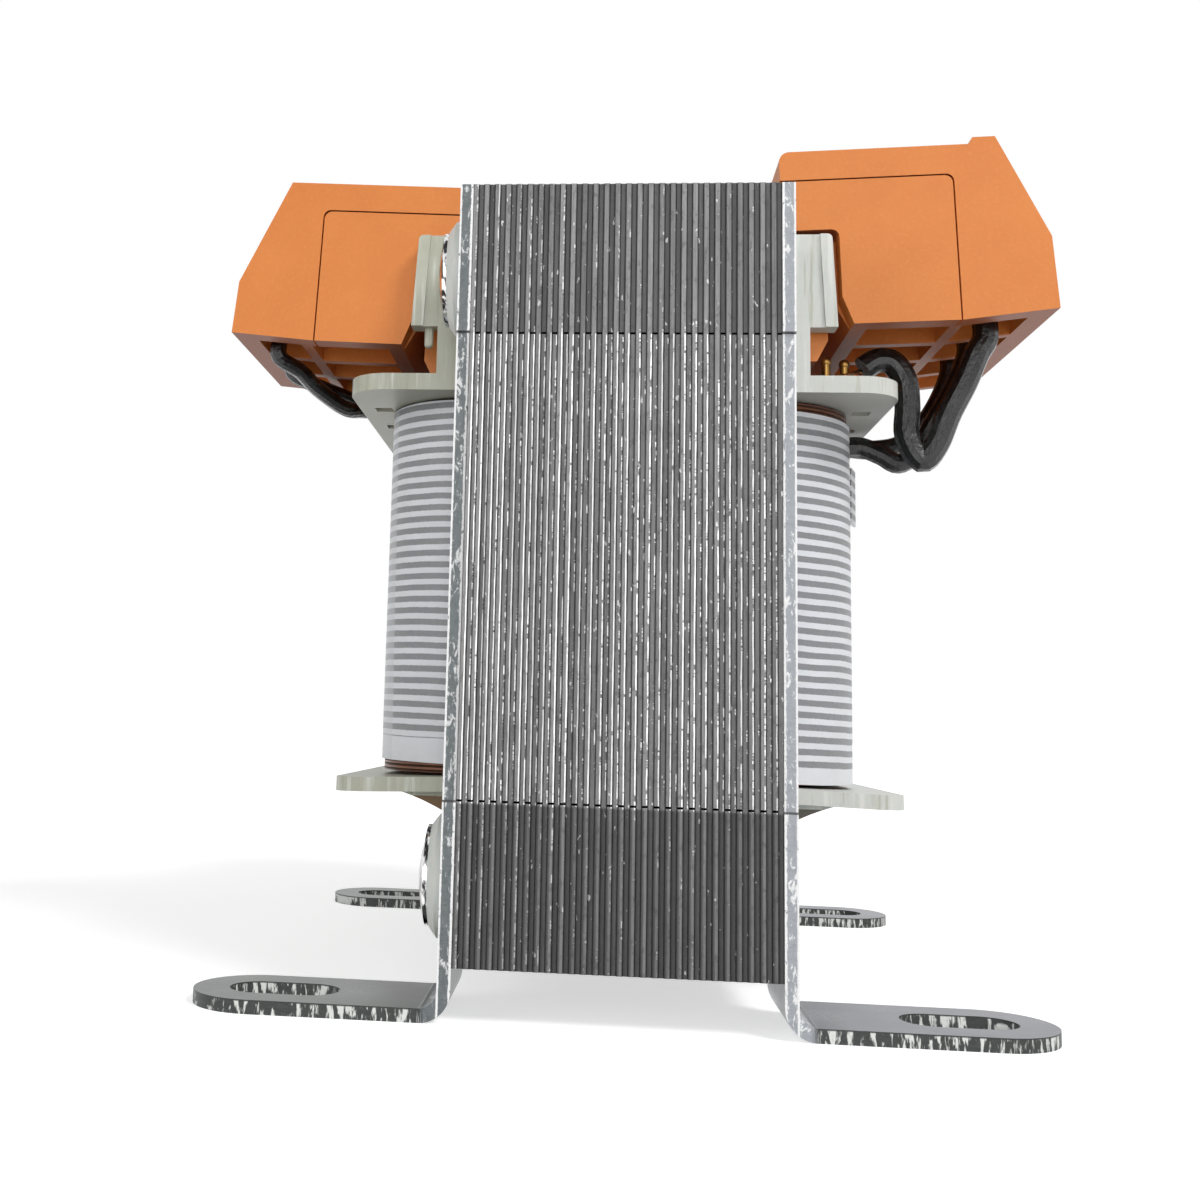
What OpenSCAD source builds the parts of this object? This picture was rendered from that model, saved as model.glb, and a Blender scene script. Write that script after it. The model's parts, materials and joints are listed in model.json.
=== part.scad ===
// Laminated chassis transformer.
// An interleaved EI core is clamped between two sheet brackets with slotted
// feet. A flanged bobbin on the tongue carries the taped winding, and a
// terminal block hangs on the bobbin at each side of the core.
// X runs across the lamination stack, Y along the core and Z is up.
// Z = 0 is the underside of the feet.

/* [Core] */
// Width of the tongue; every other core dimension follows from half of it
tongue_w = 28; // [20:1:40]
// Thickness of one lamination
sheet_t = 0.5; // [0.35:0.05:0.65]
// Number of laminations in the stack
sheet_count = 56; // [40:2:80]
// Set-back of the edge of every other lamination
edge_step = 0.12; // [0.02:0.02:0.3]
// Gap where the E legs meet the I piece
joint_gap = 0.2; // [0.05:0.05:0.4]

/* [Brackets] */
// Thickness of the bracket sheet
bracket_t = 1.2; // [0.8:0.1:2]
// Height of the core above the underside of the feet
core_lift = 4.6; // [3.5:0.1:10]
// Inside radius of the bend between bracket and foot
bend_r = 1.5; // [0.8:0.1:1.8]
// Width of each foot
foot_w = 12; // [9:0.5:14]
// Reach of the slot centre beyond the outside of the bracket
slot_reach = 14.3; // [12:0.1:20]
// Width of the mounting slot
slot_w = 5.5; // [4.2:0.1:6]
// Overall length of the mounting slot
slot_len = 10; // [7:0.5:12]
// Relief of the bracket edge beside the window
side_relief = 0.2; // [0.1:0.05:0.5]

/* [Bolts] */
// Thread diameter of the core bolts
bolt_d = 4; // [3:0.5:4.5]
// Diameter of the domed bolt heads
bolt_head_d = 9; // [8:0.1:9.4]
// Height of the domed bolt heads
bolt_head_h = 1.1; // [0.8:0.1:2]
// Diameter of the insulating washers
washer_d = 11.1; // [9.5:0.1:11.5]
// Thickness of the insulating washers
washer_t = 1.4; // [0.8:0.1:2]
// Wall of the insulating tubes round the bolts
tube_wall = 0.3; // [0.2:0.05:0.5]

/* [Bobbin] */
// Wall of the tube on the tongue
bobbin_wall = 1.1; // [0.8:0.1:1.5]
// Thickness of the flanges
flange_t = 1.7; // [1.2:0.1:2.2]
// Thickness of the lower flange
lower_flange_t = 1.4; // [1.2:0.1:2.2]
// Sag of the lower flange at its outer edge
flange_sag = 0.4; // [0:0.1:0.8]
// Reach of the flanges beyond the outside of the brackets
flange_reach = 12.6; // [11:0.1:14]
// Corner radius of the flanges
flange_r = 4.2; // [2:0.1:5]
// Side of the square lead holes through the upper flange
lead_hole = 1.9; // [1.2:0.1:2.2]
// Thickness of the ears along the core
ear_t = 2; // [1.6:0.1:2.2]
// Width of the ears
ear_w = 6; // [5:0.1:6.5]
// Height of the ears
ear_h = 9.6; // [8:0.1:10.5]
// Narrowing of the ears towards the top
ear_taper = 0.5; // [0:0.1:0.8]
// Width of the stems under the ears
stem_w = 3.3; // [2.5:0.1:4]
// Height of the stems
stem_h = 4.9; // [4.5:0.1:6]
// Reach of the gussets under the lower flange
gusset_reach = 6.6; // [4:0.1:8]
// Drop of the gussets at the bracket
gusset_drop = 2.8; // [1:0.1:3.6]

/* [Winding] */
// Radial build of the primary
primary_build = 4.2; // [3:0.1:4.4]
// Radial build of the secondary
secondary_build = 4.3; // [3:0.1:4.4]
// Thickness of the insulation between the windings
barrier_t = 0.3; // [0.2:0.05:0.5]
// Thickness of the outer wrap
wrap_t = 0.3; // [0.2:0.05:0.5]
// Slant of the wound tape edges in degrees
wrap_slant = 1.4; // [0:0.1:2]
// Free length of the tape end
tape_end = 6; // [3:0.5:8]

/* [Terminal blocks] */
// Number of ways in the left block
left_ways = 3; // [2:1:7]
// Number of ways in the right block
right_ways = 4; // [2:1:7]
// Pitch of the ways
way_pitch = 7.25; // [6.8:0.05:7.3]
// Width of the left block
left_w = 24.6; // [23.5:0.1:27]
// Width of the right block
right_w = 26.4; // [25:0.1:28]
// Height of the left block
left_h = 17.1; // [16:0.1:19]
// Height of the right block
right_h = 18.1; // [17:0.1:19]
// Height of the left nose face
left_nose = 6; // [4.8:0.1:6.5]
// Height of the right nose face
right_nose = 8.2; // [6:0.1:8.5]
// Height of the left block above the upper flange
left_lift = 3.3; // [3.2:0.1:4]
// Height of the right block above the upper flange
right_lift = 5.05; // [4.8:0.05:6]
// Upward tilt of both blocks in degrees
block_tilt = 2.3; // [0:0.1:3]
// Height of the rim along the top of the right block
rim_h = 0.7; // [0.3:0.1:1.2]
// Wall between the cells
rib_t = 1.2; // [1:0.1:1.4]
// Thickness of the end covers
cover_t = 2.4; // [2.3:0.1:3]
// Seam round the end covers
seam = 0.16; // [0.1:0.02:0.25]
// Width of the left end cover
left_cover_w = 15.9; // [15.5:0.1:17]
// Width of the right end cover
right_cover_w = 17.1; // [16:0.1:18]
// Height of the band over the left end cover
left_band = 2.9; // [2.6:0.1:4]
// Height of the band over the right end cover
right_band = 3; // [2.8:0.1:4]

/* [Terminals] */
// Thread diameter of the terminal screws
screw_d = 3; // [2.5:0.5:3.5]
// Head diameter of the terminal screws
screw_head_d = 4.6; // [4.2:0.1:4.8]
// Head height of the terminal screws
screw_head_h = 2; // [1.5:0.1:2.5]
// Side of the square clamp plates
clamp_side = 4.6; // [4.2:0.1:4.8]
// Thickness of clamp plates and contact bars
bar_t = 0.8; // [0.6:0.1:1]
// Width of the contact bars
bar_w = 3.6; // [3:0.1:3.8]

/* [Leads] */
// Outside diameter of the thin sleeves
thin_lead_d = 1.8; // [1.4:0.1:2]
// Outside diameter of the thick sleeve
thick_lead_d = 2.6; // [2:0.1:2.8]
// Diameter of the bare wire ends
wire_d = 0.8; // [0.6:0.1:1]
// Diameter of the fine wires to the right pins
fine_wire_d = 0.45; // [0.3:0.05:0.6]
// Diameter of the winding pins
pin_d = 0.9; // [0.8:0.1:1.2]
// Height of the winding pins above the flange
pin_h = 2.6; // [1.6:0.1:3.2]

/* [Hidden] */
$fn = 64;
fit = 0.1;
eps = 0.01;
core_unit = tongue_w / 2;
core_w = 6 * core_unit;
core_h = 5 * core_unit;
window_h = 3 * core_unit;
stack = sheet_t * sheet_count;
plate_in = stack / 2;
plate_out = plate_in + bracket_t;
core_top = core_lift + core_h;
window_z = core_lift + core_unit;
bolt_y = (core_w - core_unit) / 2;
bolt_zs = [core_lift + core_unit / 2, core_top - core_unit / 2];
tube_d = bolt_d + 2 * (fit + tube_wall);
core_hole_d = tube_d + 2 * fit;
slot_x = plate_out + slot_reach;
foot_y = (core_w - foot_w) / 2;
foot_end_x = slot_x + (slot_len - slot_w) / 2;
head_rim = 0.4;
gusset_t = 1.5;
gusset_in = 1.9;
washer_round = 0.9;
bobbin_play = 0.3;
flange_gap = 0.3;
tube_x = plate_in + bobbin_play + bobbin_wall;
tube_y = core_unit + bobbin_play + bobbin_wall;
flange_x = plate_out + flange_reach;
flange_y = 2 * core_unit - 0.5;
lower_flange_z = window_z + fit;
upper_flange_z = window_z + window_h - flange_gap - flange_t;
flange_top = upper_flange_z + flange_t;
wound_z = lower_flange_z + lower_flange_t + 0.2;
wound_h = upper_flange_z - 0.2 - wound_z;
primary_out = primary_build;
barrier_out = primary_out + barrier_t;
secondary_out = barrier_out + secondary_build;
wrap_out = secondary_out + wrap_t;
wrap_x = tube_x + wrap_out;
wrap_y = tube_y + wrap_out;
ear_x = plate_out + fit;
stem_top = flange_top + stem_h;
ear_top = stem_top + ear_h;
hole_x = flange_x - 2.6;
leg_drop = 3.1;
leg_w = 4.4;
chin_s = leg_w + 2.2;
chin_z = 2.8;
nose_draft = 0.3;
crown_run = 4.8;
rim_w = 2.2;
notch_s = 5.6;
notch_z = 9.8;
bar_z = 6.4;
screw_s = left_w - 11;
inner_cell = [8.2, left_w - 8.2];
outer_cell_s = inner_cell[1] + rib_t;
solder_s = left_w - 4;
block_gap = 0.8;
right_front = flange_y;
left_front = flange_y - ear_t - fit;

// Values that differ between the left (-1) and the right (1) block
function pick(side, left, right) = side < 0 ? left : right;
function block_w(side) = pick(side, left_w, right_w);
function block_h(side) = pick(side, left_h, right_h);
function block_nose(side) = pick(side, left_nose, right_nose);
function block_rim(side) = pick(side, 0, rim_h);
function nose_rise(side) = pick(side, 0.5, 0.85);
function cover_w(side) = pick(side, left_cover_w, right_cover_w);
function cover_h(side) = pick(side, left_h - left_band, right_h - right_band);
function block_ways(side) = pick(side, left_ways, right_ways);
function block_x(side) = plate_out + block_gap + pick(side, 0, 0.3);
function block_y(side) = -pick(side, left_front, right_front);
function block_z(side) = flange_top + pick(side, left_lift, right_lift);
function block_len(side) = cover_t + block_ways(side) * way_pitch;
function way_y(k) = cover_t + (k - 0.5) * way_pitch - rib_t / 2;
function crown_s(side) = block_w(side) - nose_draft - crown_run;

// A place in a block: s outward, y back from its front, z up from its base
function block_point(side, s, y, z) = [
    side * (block_x(side) + s * cos(block_tilt) - z * sin(block_tilt)),
    block_y(side) + y,
    block_z(side) + s * sin(block_tilt) + z * cos(block_tilt)
];

function arc(centre, r, from, to, steps) = [
    for (i = [0 : steps])
        let (a = from + (to - from) * i / steps)
            centre + r * [cos(a), sin(a)]
];

module along_x(length) {
    rotate([90, 0, 90])
        linear_extrude(length) children();
}

module rounded_rect(w, h, r) {
    square([w - 2 * r, h], center = true);
    square([w, h - 2 * r], center = true);
    for (x = [-1, 1], y = [-1, 1])
        translate([x * (w / 2 - r), y * (h / 2 - r)]) circle(r);
}

// A ring round the tongue, between two distances outside the bobbin tube
module wound_ring(inner, outer, z, height) {
    translate([0, 0, z])
        linear_extrude(height)
            difference() {
                rounded_rect(2 * (tube_x + outer), 2 * (tube_y + outer), 1 + outer);
                rounded_rect(2 * (tube_x + inner), 2 * (tube_y + inner), 1 + inner);
            }
}

/* ---------- core ---------- */

module bolt_holes_2d(z, d) {
    for (y = [-1, 1])
        translate([y * bolt_y, z]) circle(d = d);
}

// Every other place in the stack, starting at place 0 or 1
module lamination_set(first) {
    for (i = [first : 2 : sheet_count - 1])
        translate([i * sheet_t - plate_in, 0, 0])
            along_x(sheet_t) children();
}

module e_profile(setback, top) {
    edge = core_w / 2 - setback;
    leg = window_h - joint_gap;
    yoke_z = top ? bolt_zs[1] - core_unit / 2 : core_lift;
    leg_z = top ? yoke_z - leg : yoke_z + core_unit;
    difference() {
        union() {
            translate([-edge, yoke_z]) square([2 * edge, core_unit]);
            translate([-core_unit, leg_z]) square([tongue_w, leg]);
            for (y = [-edge, 2 * core_unit])
                translate([y, leg_z]) square([edge - 2 * core_unit, leg]);
        }
        bolt_holes_2d(yoke_z + core_unit / 2, core_hole_d);
    }
}

module i_profile(setback, z) {
    edge = core_w / 2 - setback;
    difference() {
        translate([-edge, z - core_unit / 2]) square([2 * edge, core_unit]);
        bolt_holes_2d(z, core_hole_d);
    }
}

module core_e_top() {
    color([0.33, 0.34, 0.35])
        lamination_set(0) e_profile(0, true);
}

module core_e_bottom() {
    color([0.27, 0.28, 0.29])
        lamination_set(1) e_profile(edge_step, false);
}

module core_i_top() {
    color([0.3, 0.31, 0.32])
        lamination_set(1) i_profile(edge_step, bolt_zs[1]);
}

module core_i_bottom() {
    color([0.35, 0.36, 0.37])
        lamination_set(0) i_profile(0, bolt_zs[0]);
}

/* ---------- brackets and bolts ---------- */

module bracket_frame(hole_d) {
    difference() {
        translate([-core_w / 2, core_lift]) square([core_w, core_h]);
        translate([-2 * core_unit, window_z]) square([4 * core_unit, window_h]);
        for (y = [-1, 1])
            translate([y * core_w / 2 - side_relief, window_z])
                square([2 * side_relief, window_h]);
        for (z = bolt_zs) bolt_holes_2d(z, hole_d);
    }
}

// One foot in the XZ plane for the bend and in plan for the slotted end
module foot() {
    bend_x = plate_out + bend_r;
    bend_z = bracket_t + bend_r;
    translate([0, foot_w / 2, 0])
        rotate([90, 0, 0])
            linear_extrude(foot_w) {
                translate([plate_in, bend_z])
                    square([bracket_t, core_lift - bend_z + eps]);
                intersection() {
                    translate([bend_x, bend_z])
                        difference() {
                            circle(bend_r + bracket_t);
                            circle(bend_r);
                        }
                    translate([plate_in, 0]) square(bend_z);
                }
            }
    linear_extrude(bracket_t)
        difference() {
            union() {
                translate([bend_x, -foot_w / 2]) square([foot_end_x - bend_x, foot_w]);
                translate([foot_end_x, 0]) circle(d = foot_w);
            }
            translate([slot_x, 0]) slot_2d();
        }
}

module slot_2d() {
    run = slot_len - slot_w;
    square([run, slot_w], center = true);
    for (x = [-1, 1])
        translate([x * run / 2, 0]) circle(d = slot_w);
}

module bracket(side, hole_d) {
    mirror([side < 0 ? 1 : 0, 0, 0])
        color([0.78, 0.79, 0.8]) {
            translate([plate_in, 0, 0]) along_x(bracket_t) bracket_frame(hole_d);
            for (y = [-foot_y, foot_y]) translate([0, y, 0]) foot();
        }
}

module left_bracket() {
    bracket(-1, core_hole_d);
}

module right_bracket() {
    bracket(1, bolt_d + fit);
}

// Children placed on each bolt axis, pointing along +X
module at_bolts() {
    for (y = [-bolt_y, bolt_y], z = bolt_zs)
        translate([0, y, z]) rotate([0, 90, 0]) children();
}

module core_bolts() {
    head_r = bolt_head_d / 2;
    dome_h = bolt_head_h - head_rim;
    dome_r = (head_r * head_r + dome_h * dome_h) / (2 * dome_h);
    head_x = -plate_out - washer_t;
    color([0.82, 0.83, 0.84])
        at_bolts() {
            translate([0, 0, head_x]) cylinder(d = bolt_d, h = plate_out - head_x);
            difference() {
                intersection() {
                    translate([0, 0, head_x - bolt_head_h + dome_r]) sphere(dome_r);
                    translate([0, 0, head_x - bolt_head_h])
                        cylinder(r = head_r, h = bolt_head_h);
                }
                for (a = [0, 90])
                    rotate(a)
                        translate([0, 0, head_x - bolt_head_h])
                            cube([head_r, 0.9, 1.1], center = true);
            }
        }
}

module bolt_tubes() {
    color([0.9, 0.88, 0.8])
        at_bolts()
            translate([0, 0, -plate_out])
                difference() {
                    cylinder(d = tube_d, h = plate_out + plate_in);
                    translate([0, 0, -1])
                        cylinder(d = bolt_d + 2 * fit, h = plate_out + plate_in + 2);
                }
}

// Each washer is rounded over its outer half, as a slice of a ball
module bolt_washers() {
    rim_r = washer_d / 2;
    face_r = rim_r - washer_round;
    half_t = washer_t / 2;
    ball_z = (rim_r * rim_r - face_r * face_r + half_t * half_t) / (2 * half_t);
    ball_r = norm([face_r, ball_z]);
    color([0.9, 0.9, 0.88])
        at_bolts()
            translate([0, 0, -plate_out - washer_t])
                difference() {
                    intersection() {
                        cylinder(d = washer_d, h = washer_t);
                        translate([0, 0, ball_z]) sphere(ball_r, $fn = 128);
                    }
                    translate([0, 0, -1]) cylinder(d = bolt_d + 2 * fit, h = washer_t + 2);
                }
}

/* ---------- bobbin ---------- */

module flange_plate(z, t) {
    translate([0, 0, z])
        linear_extrude(t)
            difference() {
                rounded_rect(2 * flange_x, 2 * flange_y, flange_r);
                square([2 * (plate_in + bobbin_play), 2 * (core_unit + bobbin_play)],
                    center = true);
            }
}

// The lower flange sags from the brackets to its outer edges
module sagging_flange() {
    intersection() {
        flange_plate(lower_flange_z - flange_sag, lower_flange_t + flange_sag);
        translate([0, flange_y, lower_flange_z])
            rotate([90, 0, 0])
                linear_extrude(2 * flange_y)
                    polygon([
                        [-flange_x, -flange_sag], [-plate_out, 0], [plate_out, 0],
                        [flange_x, -flange_sag], [flange_x, lower_flange_t - flange_sag],
                        [plate_out, lower_flange_t], [-plate_out, lower_flange_t],
                        [-flange_x, lower_flange_t - flange_sag]
                    ]);
    }
}

module lead_holes() {
    for (x = [-1, 1], k = [-2 : 2])
        translate([x * hole_x, k * flange_y / 3.1, upper_flange_z + flange_t / 2])
            cube([lead_hole, lead_hole, flange_t + 2], center = true);
}

// Stem and ear with its front bead, and the peg under a left ear
module ear(peg) {
    translate([ear_x, 0, flange_top - eps]) cube([stem_w, ear_t, stem_h + 2 * eps]);
    translate([ear_x, ear_t, stem_top])
        rotate([90, 0, 0])
            linear_extrude(ear_t) ear_profile();
    translate([ear_x, eps, stem_top])
        rotate([90, 0, 0])
            linear_extrude(0.3)
                intersection() {
                    ear_profile();
                    polygon([
                        [ear_w - 1.2, 0], [ear_w, 0],
                        [ear_w, ear_h], [ear_w - ear_taper - 1.2, ear_h]
                    ]);
                }
    if (peg)
        translate([ear_x + ear_w - 1.7, ear_t - 0.8, stem_top - 1.6]) {
            cylinder(d = 0.9, h = 1.6 + eps);
            sphere(d = 0.9);
        }
}

module ear_profile() {
    r = 0.5;
    top_w = ear_w - ear_taper;
    polygon(concat(
        [[0, 0], [0, ear_h]],
        arc([top_w - r, ear_h - r], r, 90, 0, 5),
        [[ear_w, 0]]));
}

module gusset() {
    translate([ear_x, 0, lower_flange_z])
        rotate([90, 0, 0])
            linear_extrude(gusset_t)
                polygon(concat(
                    [[0, eps], [0, -gusset_drop]],
                    [for (i = [1 : 5]) let (t = i / 6)
                        [gusset_reach * t, -gusset_drop * (1 - t) * (1 - 0.45 * t)]],
                    [[gusset_reach, 0], [gusset_reach, eps]]));
}

module bobbin() {
    color([0.8, 0.82, 0.75]) {
        difference() {
            union() {
                sagging_flange();
                flange_plate(upper_flange_z, flange_t);
            }
            lead_holes();
        }
        translate([0, 0, lower_flange_z + lower_flange_t - eps])
            linear_extrude(upper_flange_z - lower_flange_z - lower_flange_t + 2 * eps)
                difference() {
                    rounded_rect(2 * tube_x, 2 * tube_y, 1);
                    square([2 * (tube_x - bobbin_wall), 2 * (tube_y - bobbin_wall)],
                        center = true);
                }
        for (sx = [0, 1], sy = [0, 1])
            mirror([sx, 0, 0]) mirror([0, sy, 0]) {
                translate([0, -flange_y, 0]) ear(sx == 1);
                translate([0, gusset_in + gusset_t - flange_y, 0]) gusset();
            }
    }
}

/* ---------- windings ---------- */

module primary_winding() {
    color([0.62, 0.34, 0.16]) wound_ring(0, primary_out, wound_z, wound_h);
}

module winding_barrier() {
    color([0.86, 0.72, 0.35]) wound_ring(primary_out, barrier_out, wound_z, wound_h);
}

module secondary_winding() {
    color([0.62, 0.34, 0.16]) wound_ring(barrier_out, secondary_out, wound_z, wound_h);
}

// The taped shell, cut along its slanting edges, with the loose tape end
module outer_wrap() {
    color([0.88, 0.89, 0.9]) {
        intersection() {
            wound_ring(secondary_out, wrap_out, wound_z, wound_h);
            translate([0, 0, wound_z + wound_h / 2])
                rotate([0, wrap_slant, 0])
                    cube([4 * wrap_x, 4 * wrap_y, wound_h - 1], center = true);
        }
        translate([wrap_x - 0.05, -wrap_y + 9.5, wound_z + wound_h - 11])
            rotate([0, 0, -18])
                cube([0.25, tape_end / 2, tape_end]);
    }
}

/* ---------- terminal blocks ---------- */

// Children drawn in a block's own frame, placed on the left or right
module in_block(side) {
    mirror([side < 0 ? 1 : 0, 0, 0])
        translate([block_x(side), block_y(side), block_z(side)])
            rotate([0, -block_tilt, 0]) children();
}

// Extrudes a block section, drawn as s and z, back from a given depth
module block_extrude(from, length) {
    translate([0, from + length, 0])
        rotate([90, 0, 0])
            linear_extrude(length) children();
}

module block_section(side) {
    w = block_w(side);
    h = block_h(side);
    crown = crown_s(side);
    rim = block_rim(side);
    polygon(concat(
        [[0.6, -leg_drop], [leg_w - 1.2, -leg_drop], [leg_w, -1], [leg_w, chin_z],
            [leg_w + 0.7, chin_z], [chin_s, 0], [cover_w(side), 0], [w, nose_rise(side)],
            [w - nose_draft, block_nose(side)], [crown, h + rim]],
        rim > 0 ? [[crown - rim_w, h + rim], [crown - rim_w - 0.4, h]] : [],
        arc([1, h - 1], 1, 90, 180, 6),
        [[0, -leg_drop + 0.6]]));
}

module cover_section(side, gap) {
    w = cover_w(side) - gap;
    h = cover_h(side) - gap;
    polygon(concat(
        [[-1, notch_z], [-1, h]],
        arc([w - 0.8, h - 0.8], 0.8, 90, 0, 5),
        [[w, -1], [-1, -1]]));
}

module left_terminal_block() {
    terminal_block(-1);
}

module right_terminal_block() {
    terminal_block(1);
}

module terminal_block(side) {
    len = block_len(side);
    cell = way_pitch - rib_t;
    outer_end = block_w(side) - 2.4;
    color([0.9, 0.45, 0.13])
        in_block(side)
            difference() {
                block_extrude(0, len) block_section(side);
                block_extrude(-1, cover_t + 1) cover_section(side, 0);
                translate([-1, -1, -leg_drop - 1])
                    cube([cover_w(side) + 1, cover_t + 1, leg_drop + 2]);
                for (k = [1 : block_ways(side)])
                    translate([0, way_y(k), 0]) {
                        cell_cut(inner_cell[0], inner_cell[1], cell);
                        cell_cut(outer_cell_s, outer_end, cell);
                        bar_cut(side);
                    }
            }
}

// An open pocket in the underside, between two places across the block
module cell_cut(from, to, width) {
    translate([from, -width / 2, -1]) cube([to - from, width, bar_z + bar_t + 1]);
}

// Room for the contact bar, the wire and the screw of one way
module bar_cut(side) {
    clear_w = bar_w + 2 * fit;
    wire_h = 3.4;
    top = block_h(side) + 2;
    translate([screw_s - 2, -clear_w / 2, bar_z]) cube([8, clear_w, bar_t]);
    translate([screw_s, -clear_w / 2, bar_z + bar_t - eps])
        cube([block_w(side), clear_w, wire_h]);
    translate([screw_s, 0, bar_z + bar_t - eps])
        cylinder(d = screw_head_d + 0.6, h = top - bar_z);
    translate([screw_s - clamp_side / 2 - fit, -clamp_side / 2 - fit, bar_z + bar_t - eps])
        cube([clamp_side + 2 * fit, clamp_side + 2 * fit, bar_t + 2 * fit]);
}

module end_cover(side) {
    color([0.88, 0.43, 0.12])
        in_block(side)
            block_extrude(0, cover_t - eps)
                difference() {
                    intersection() {
                        block_section(side);
                        cover_section(side, seam);
                    }
                    polygon(concat(
                        [[-1, notch_z], [notch_s - 0.8, notch_z]],
                        arc([notch_s - 0.8, notch_z - 0.8], 0.8, 90, 0, 4),
                        [[notch_s, chin_z], [chin_s, 0], [chin_s, -1], [notch_s, -leg_drop - 1],
                            [-1, -leg_drop - 1]]));
                    translate([-1, -leg_drop - 1]) square([cover_w(side) + 2, leg_drop + 1]);
                }
}

module left_end_cover() {
    end_cover(-1);
}

module right_end_cover() {
    end_cover(1);
}

// Children placed at the floor of the screw chamber of each way
module at_ways(side) {
    in_block(side)
        for (k = [1 : block_ways(side)])
            translate([screw_s, way_y(k), bar_z]) children();
}

module terminal_screws(side) {
    head_z = 2 * bar_t;
    color([0.75, 0.75, 0.72])
        at_ways(side)
            difference() {
                union() {
                    translate([0, 0, head_z]) cylinder(d = screw_head_d, h = screw_head_h);
                    translate([0, 0, -1.8]) cylinder(d = screw_d, h = head_z + 1.8 + eps);
                }
                translate([0, 0, head_z + screw_head_h])
                    cube([screw_head_d + 1, 0.8, 1.6], center = true);
            }
}

module left_terminal_screws() {
    terminal_screws(-1);
}

module right_terminal_screws() {
    terminal_screws(1);
}

module clamp_plates(side) {
    color([0.76, 0.76, 0.7])
        at_ways(side)
            translate([0, 0, bar_t])
                difference() {
                    translate([0, 0, bar_t / 2])
                        cube([clamp_side, clamp_side, bar_t], center = true);
                    translate([0, 0, -1]) cylinder(d = screw_d + fit, h = bar_t + 2);
                }
}

module left_clamp_plates() {
    clamp_plates(-1);
}

module right_clamp_plates() {
    clamp_plates(1);
}

module contact_bars(side) {
    color([0.78, 0.6, 0.28])
        at_ways(side)
            difference() {
                translate([-2 + fit, -bar_w / 2, 0])
                    cube([solder_s - screw_s + 3, bar_w, bar_t]);
                translate([0, 0, -1]) cylinder(d = screw_d + fit, h = bar_t + 2);
            }
}

module left_contact_bars() {
    contact_bars(-1);
}

module right_contact_bars() {
    contact_bars(1);
}

/* ---------- leads ---------- */

function unit(v) = v / norm(v);

function spline_point(p, i, t) =
    let (
        a = p[max(i - 1, 0)],
        b = p[i],
        c = p[i + 1],
        d = p[min(i + 2, len(p) - 1)]
    )
    0.5 * (2 * b + (c - a) * t + (2 * a - 5 * b + 4 * c - d) * t * t
        + (3 * b - a - 3 * c + d) * t * t * t);

function spline(p, steps) = concat(
    [for (i = [0 : len(p) - 2], k = [0 : steps - 1]) spline_point(p, i, k / steps)],
    [p[len(p) - 1]]);

function path_dir(q, i) = unit(q[min(i + 1, len(q) - 1)] - q[max(i - 1, 0)]);

function ring(centre, dir, r, sides) =
    let (
        a = unit(cross(dir, [0, 1, 0])),
        b = cross(a, dir)
    )
    [for (k = [0 : sides - 1])
        centre + r * (cos(360 * k / sides) * a + sin(360 * k / sides) * b)];

// A round lead of diameter d that follows a list of points
module lead(points, d, sides, steps) {
    q = spline(points, steps);
    last = len(q) - 1;
    polyhedron(
        points = [for (i = [0 : last]) each ring(q[i], path_dir(q, i), d / 2, sides)],
        faces = concat(
            [[for (k = [sides - 1 : -1 : 0]) k]],
            [for (i = [0 : last - 1], k = [0 : sides - 1])
                let (j = i * sides, n = (k + 1) % sides)
                    each [[j + k, j + sides + n, j + sides + k], [j + k, j + n, j + sides + n]]],
            [[for (k = [0 : sides - 1]) last * sides + k]]));
}

// The last stretch of a lead, straight up into its cell
function lead_tail(side, way) = [
    for (z = [-0.5, 2, bar_z - 2]) block_point(side, solder_s, way_y(way), z)
];

// The winding pins, two near the middle at the left and two near the front right
pin_places = [
    [3.5 - flange_x, -3.4], [3.5 - flange_x, 3.2],
    [flange_x - 6.9, 4.9 - flange_y], [flange_x - 4.9, 5.9 - flange_y]
];
loop_end = [flange_x - 2.9, block_y(1) + way_y(1) + 0.9, flange_top + 2.3];

module sleeve(points, d) {
    color([0.05, 0.05, 0.05]) lead(points, d, 12, 5);
}

// Where a thin lead starts beside a left pin, lying on the flange
function pin_side(place) = [place[0] - pin_d / 2 - 0.2, place[1] - 0.6,
    flange_top + thin_lead_d / 2 + fit];

// A point part of the way from a to b in X and in Y, and h above a
function between(a, b, f, g, h) =
    [a[0] + f * (b[0] - a[0]), a[1] + g * (b[1] - a[1]), a[2] + h];

module left_lead_front() {
    a = pin_side(pin_places[0]);
    tail = lead_tail(-1, 1);
    b = tail[0];
    sleeve(concat(
        [a, between(a, b, 0.2, -0.02, 0.3), between(a, b, 0.33, 0.03, 0.1),
            between(a, b, 0.41, 0.12, -0.2), between(a, b, 0.53, 0.34, -0.7),
            between(a, b, 0.73, 0.62, 0.5), between(a, b, 0.84, 0.84, 1.6)],
        tail), thin_lead_d);
}

module left_lead_rear() {
    a = pin_side(pin_places[1]);
    tail = lead_tail(-1, 2);
    b = tail[0];
    sleeve(concat(
        [a, between(a, b, 0.21, 0.07, 0.6), between(a, b, 0.42, 0.24, 1.4),
            between(a, b, 0.6, 0.51, 1.6), between(a, b, 0.79, 0.82, 1.7)],
        tail), thin_lead_d);
}

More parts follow.
